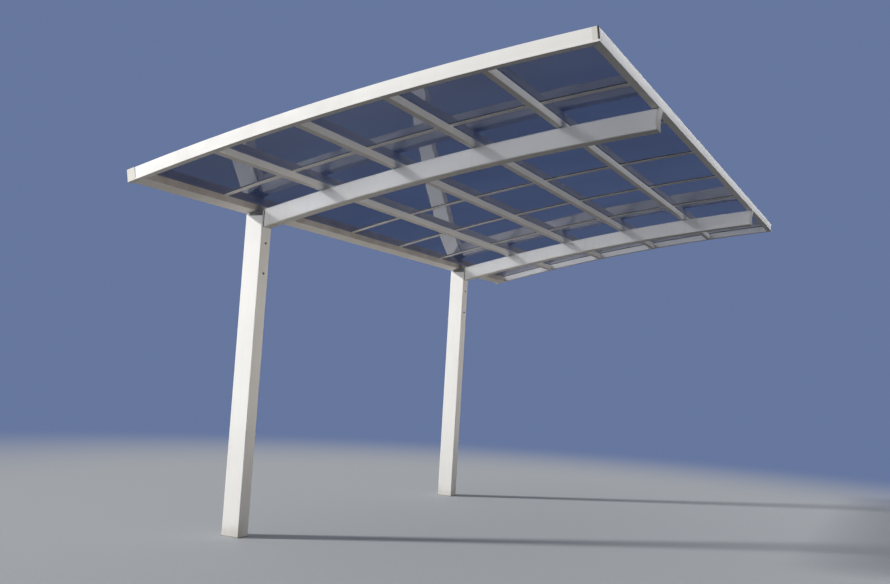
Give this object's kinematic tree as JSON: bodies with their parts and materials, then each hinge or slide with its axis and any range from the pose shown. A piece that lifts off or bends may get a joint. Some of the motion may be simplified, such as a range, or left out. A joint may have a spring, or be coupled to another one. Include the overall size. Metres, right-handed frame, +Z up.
{
  "type": "cantilever carport",
  "caption": "One-sided carport: two posts carry curved arms, purlins and an arched roof of smoked sheets over a parking bay.",
  "frame": {"origin": "centre of the near post's foot, on its lower face", "axes": "+X from the posts to the open side, +Y along the bay from the near post to the far one, +Z up"},
  "size_m": [3.0345, 5.7, 2.9471],
  "materials": {
    "white_coated_aluminium": "satin powder coat",
    "cap_strip": "satin powder coat",
    "moulded_cap": "fine matte",
    "galvanised_steel": "hot-dip galvanised",
    "smoked_sheet": "smooth gloss, smoke tint"
  },
  "bodies": {
    "root": {"far_arm": "white_coated_aluminium", "far_arm_end_cap": "moulded_cap", "far_arm_root_plate": "galvanised_steel", "far_arm_seat_pads": "galvanised_steel", "far_gable_frame": "white_coated_aluminium", "far_gutter_corner": "moulded_cap", "far_post": "white_coated_aluminium", "far_post_foot_plate": "galvanised_steel", "front_beam": "white_coated_aluminium", "glazing_bar_1": "white_coated_aluminium", "glazing_bar_2": "white_coated_aluminium", "glazing_bar_3": "white_coated_aluminium", "glazing_bar_4": "white_coated_aluminium", "glazing_bar_5": "white_coated_aluminium", "glazing_bar_6": "white_coated_aluminium", "glazing_cap_1": "cap_strip", "glazing_cap_2": "cap_strip", "glazing_cap_3": "cap_strip", "glazing_cap_4": "cap_strip", "glazing_cap_5": "cap_strip", "glazing_cap_6": "cap_strip", "gutter_beam": "white_coated_aluminium", "near_arm": "white_coated_aluminium", "near_arm_end_cap": "moulded_cap", "near_arm_root_plate": "galvanised_steel", "near_arm_seat_pads": "galvanised_steel", "near_gable_frame": "white_coated_aluminium", "near_gutter_corner": "moulded_cap", "near_post": "white_coated_aluminium", "near_post_foot_plate": "galvanised_steel", "purlin_1": "white_coated_aluminium", "purlin_2": "white_coated_aluminium", "purlin_3": "white_coated_aluminium", "purlin_4": "white_coated_aluminium", "roof_sheet_1": "smoked_sheet", "roof_sheet_2": "smoked_sheet", "roof_sheet_3": "smoked_sheet", "roof_sheet_4": "smoked_sheet", "roof_sheet_5": "smoked_sheet", "roof_sheet_6": "smoked_sheet", "roof_sheet_7": "smoked_sheet"}
  },
  "joints": []
}
